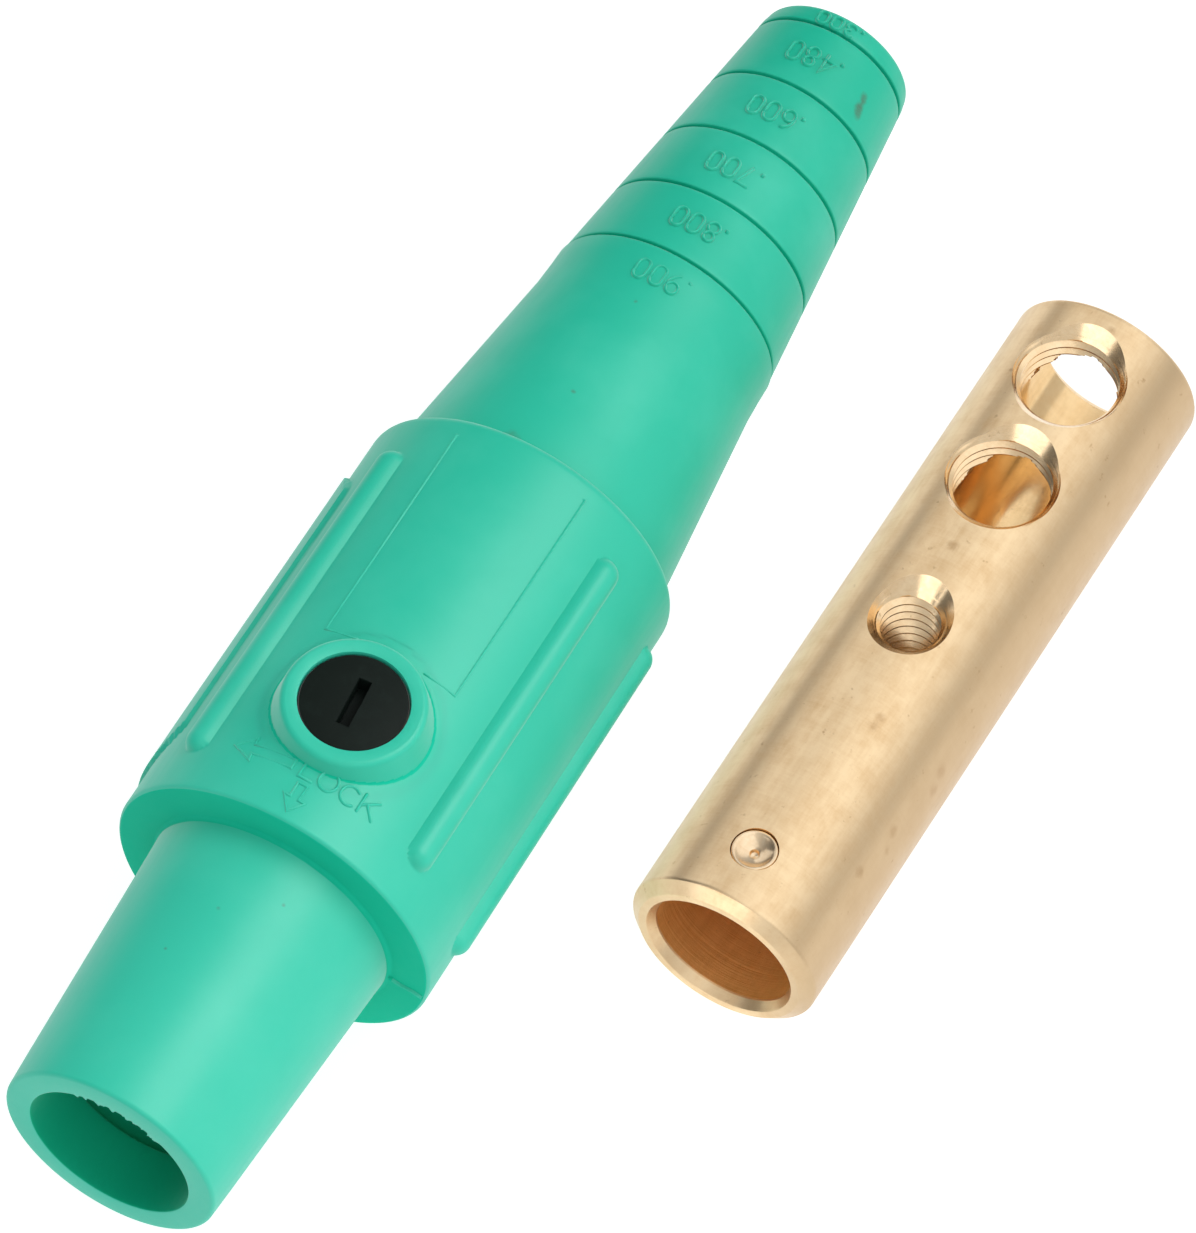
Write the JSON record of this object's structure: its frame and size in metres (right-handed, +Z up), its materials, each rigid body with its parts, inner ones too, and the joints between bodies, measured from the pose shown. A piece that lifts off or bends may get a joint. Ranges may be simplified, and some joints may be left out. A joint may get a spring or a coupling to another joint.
{
  "type": "cam-lock connector",
  "caption": "Single-pole cam-lock power connector, female side: green moulded sleeve with plastic retaining screw, and its turned brass contact lying beside it.",
  "frame": {"origin": "middle of the sleeve's mating mouth, on the sleeve's axis", "axes": "+X along the sleeve to the cable end, +Z up out of the retaining screw, -Y to the contact that lies beside"},
  "size_m": [0.1594, 0.073, 0.0407],
  "materials": {
    "sleeve_elastomer": "satin moulded elastomer, mint green",
    "screw_plastic": "black moulded plastic, slightly worn",
    "contact_brass": "turned, slightly tarnished",
    "pin_brass": "turned end with a centre mark"
  },
  "bodies": {
    "root": {"insulating_sleeve": "sleeve_elastomer", "contact_body": "contact_brass", "cam_pin": "pin_brass"},
    "screw": {"retaining_screw": "screw_plastic"}
  },
  "joints": [
    {"name": "retaining_screw_turn", "type": "hinge", "parent": "root", "child": "screw", "pos_m": [0.0489, 0, 0.0175], "axis": [0, 0, 1], "continuous": true}
  ]
}
